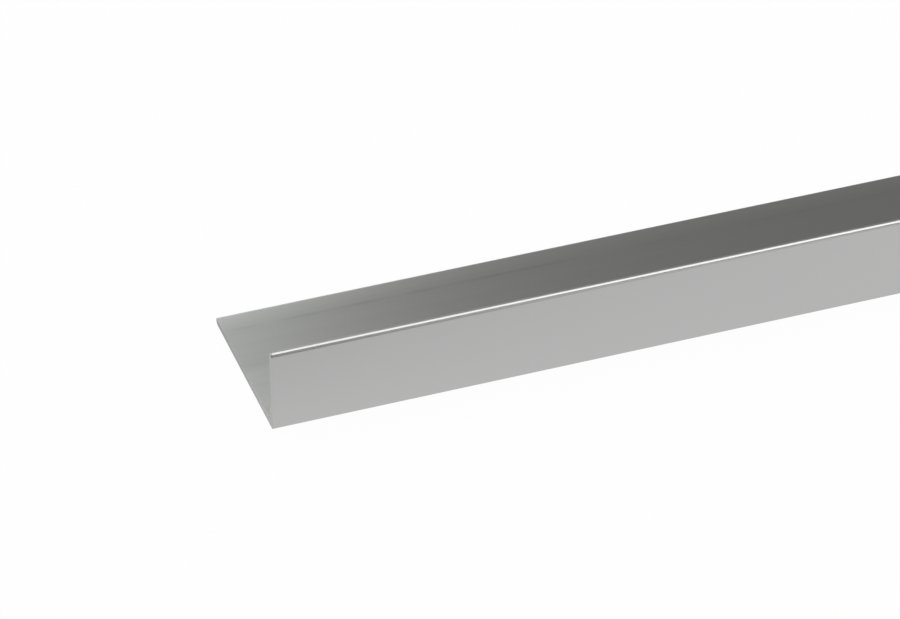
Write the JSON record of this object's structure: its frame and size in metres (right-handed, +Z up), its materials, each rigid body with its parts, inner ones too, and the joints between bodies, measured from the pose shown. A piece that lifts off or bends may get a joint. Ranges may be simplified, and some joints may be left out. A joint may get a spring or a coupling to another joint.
{
  "type": "aluminium extrusion profile",
  "caption": "Unequal-leg aluminium angle: a straight extruded L-section bar, wide leg flat and narrow leg upright, for edging, framing and trimming.",
  "frame": {"origin": "on the outer face of the wide leg, which the bar lies on, at the middle of the bar's length and of the wide leg's width", "axes": "+X along the bar, +Y from the upright narrow leg towards the free edge of the wide leg, +Z up"},
  "size_m": [1, 0.04, 0.02],
  "materials": {
    "aluminium": "bare mill finish, satin, with fine extrusion lines along the bar"
  },
  "bodies": {
    "root": {"angle_profile": "aluminium"}
  },
  "joints": []
}
